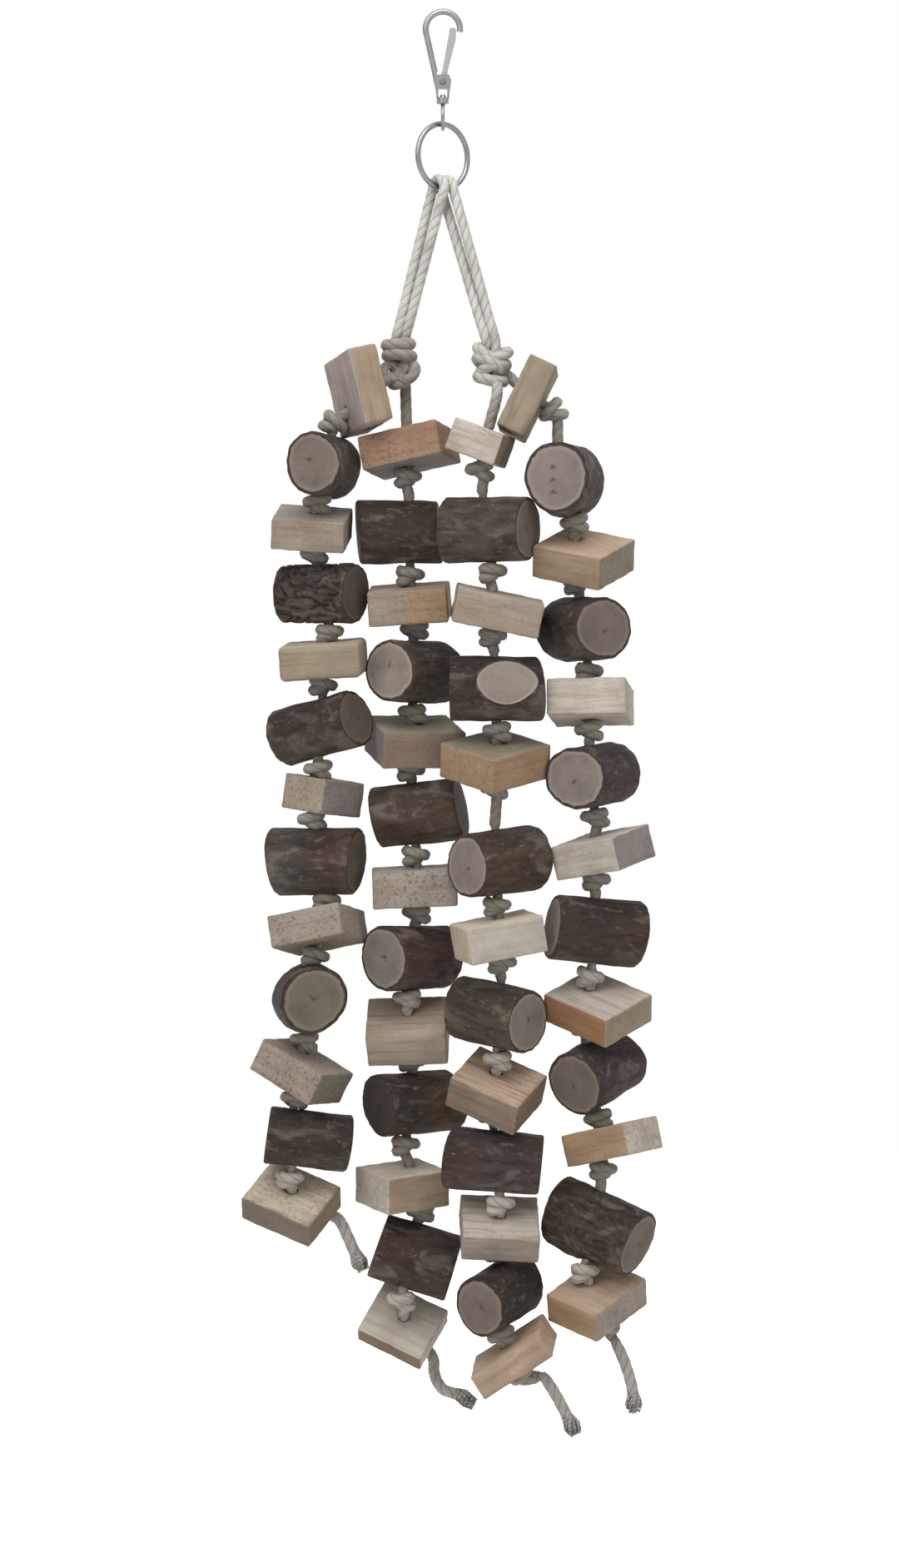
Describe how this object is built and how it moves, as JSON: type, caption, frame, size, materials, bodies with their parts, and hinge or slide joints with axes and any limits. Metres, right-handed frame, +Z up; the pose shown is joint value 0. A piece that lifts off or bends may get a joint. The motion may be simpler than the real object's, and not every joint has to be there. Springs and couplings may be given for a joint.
{
  "type": "hanging bird chew toy",
  "caption": "Hanging chew toy for a bird cage: knotted rope strands of drilled bark-on logs and sawn blocks under a steel ring and a swivel snap hook.",
  "frame": {"origin": "where the inside of the snap hook's bow bears on the cage's bar", "axes": "+Z up along the line the toy hangs on, +X to the right and -Y towards the viewer in the front view"},
  "size_m": [0.2398, 0.0912, 0.8119],
  "materials": {
    "bark_log": "rough bark, grey-taupe sawn ends",
    "pine_block": "rough sawn, weathered",
    "cotton_rope": "three-strand laid rope, matt",
    "plated_steel": "nickel plated, satin"
  },
  "bodies": {
    "hook": {"snap_hook": "plated_steel", "gate_rivet": "plated_steel"},
    "gate": {"hook_gate": "plated_steel"},
    "swivel": {"swivel_eye": "plated_steel"},
    "ring": {"steel_ring": "plated_steel"},
    "toy": {"rope_left": "cotton_rope", "rope_right": "cotton_rope", "rope_tails": "cotton_rope", "far_left_01_block": "pine_block", "far_left_02_log": "bark_log", "far_left_03_block": "pine_block", "far_left_04_log": "bark_log", "far_left_05_block": "pine_block", "far_left_06_log": "bark_log", "far_left_07_block": "pine_block", "far_left_08_log": "bark_log", "far_left_09_block": "pine_block", "far_left_10_log": "bark_log", "far_left_11_block": "pine_block", "far_left_12_log": "bark_log", "far_left_13_block": "pine_block", "inner_left_01_block": "pine_block", "inner_left_02_log": "bark_log", "inner_left_03_block": "pine_block", "inner_left_04_log": "bark_log", "inner_left_05_block": "pine_block", "inner_left_06_log": "bark_log", "inner_left_07_block": "pine_block", "inner_left_08_log": "bark_log", "inner_left_09_block": "pine_block", "inner_left_10_log": "bark_log", "inner_left_11_block": "pine_block", "inner_left_12_log": "bark_log", "inner_left_13_block": "pine_block", "inner_right_01_block": "pine_block", "inner_right_02_log": "bark_log", "inner_right_03_block": "pine_block", "inner_right_04_log": "bark_log", "inner_right_05_block": "pine_block", "inner_right_06_log": "bark_log", "inner_right_07_block": "pine_block", "inner_right_08_log": "bark_log", "inner_right_09_block": "pine_block", "inner_right_10_log": "bark_log", "inner_right_11_block": "pine_block", "inner_right_12_log": "bark_log", "inner_right_13_block": "pine_block", "far_right_01_block": "pine_block", "far_right_02_log": "bark_log", "far_right_03_block": "pine_block", "far_right_04_log": "bark_log", "far_right_05_block": "pine_block", "far_right_06_log": "bark_log", "far_right_07_block": "pine_block", "far_right_08_log": "bark_log", "far_right_09_block": "pine_block", "far_right_10_log": "bark_log", "far_right_11_block": "pine_block", "far_right_12_log": "bark_log", "far_right_13_block": "pine_block"}
  },
  "joints": [
    {"name": "gate_hinge", "type": "hinge", "parent": "hook", "child": "gate", "pos_m": [0, 0, -0.0385], "axis": [0, -1, 0], "range_deg": [0, 18], "stiffness_Nm_per_rad": 0.05, "springref_deg": -8.59},
    {"name": "swivel_turn", "type": "hinge", "parent": "hook", "child": "swivel", "pos_m": [0, 0, -0.0507], "axis": [0, 0, 1], "continuous": true},
    {"name": "ring_swing", "type": "hinge", "parent": "swivel", "child": "ring", "pos_m": [0, 0, -0.0623], "axis": [0.766, 0.6428, 0], "range_deg": [-50, 50]},
    {"name": "toy_swing", "type": "hinge", "parent": "ring", "child": "toy", "pos_m": [0, 0, -0.0991], "axis": [0.766, 0.6428, 0], "range_deg": [-40, 40]}
  ]
}
